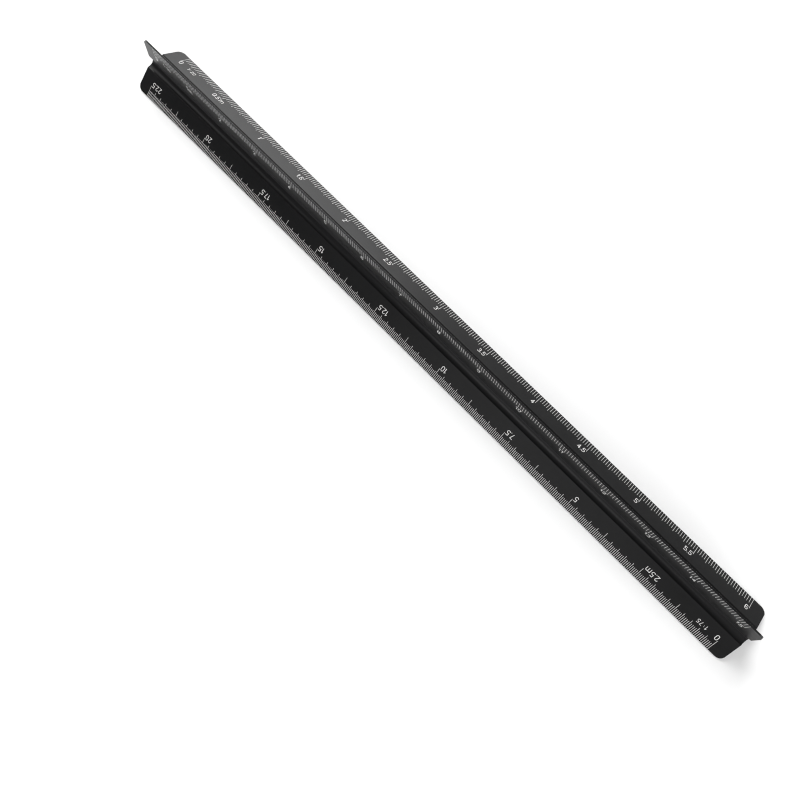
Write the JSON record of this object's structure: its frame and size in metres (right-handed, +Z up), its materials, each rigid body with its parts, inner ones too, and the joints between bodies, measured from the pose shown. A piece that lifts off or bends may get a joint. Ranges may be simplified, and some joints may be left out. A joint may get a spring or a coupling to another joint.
{
  "type": "triangular scale ruler",
  "caption": "Long three-bladed drafting rule of black anodised aluminium with round flutes between the blades and white engraved scales on the blade faces.",
  "frame": {"origin": "under the middle of the ruler, on the plane that the edges of its two lower blades rest on", "axes": "+X along the ruler, from the zero of the 1:20 scale to its end; +Z up along the upright blade"},
  "size_m": [0.311, 0.0236, 0.0205],
  "materials": {
    "black_anodised": "black anodised, satin",
    "white_marks": "white fill, matt"
  },
  "bodies": {
    "root": {"caption_1_100": "white_marks", "caption_1_125": "white_marks", "caption_1_20": "white_marks", "caption_1_25": "white_marks", "caption_1_50": "white_marks", "caption_1_75": "white_marks", "long_lines_1_100": "white_marks", "long_lines_1_125": "white_marks", "long_lines_1_20": "white_marks", "long_lines_1_25": "white_marks", "long_lines_1_50": "white_marks", "long_lines_1_75": "white_marks", "medium_lines_1_100": "white_marks", "medium_lines_1_125": "white_marks", "medium_lines_1_20": "white_marks", "medium_lines_1_25": "white_marks", "medium_lines_1_50": "white_marks", "medium_lines_1_75": "white_marks", "numerals_1_100": "white_marks", "numerals_1_125": "white_marks", "numerals_1_20": "white_marks", "numerals_1_25": "white_marks", "numerals_1_50": "white_marks", "numerals_1_75": "white_marks", "rule_body": "black_anodised"}
  },
  "joints": []
}
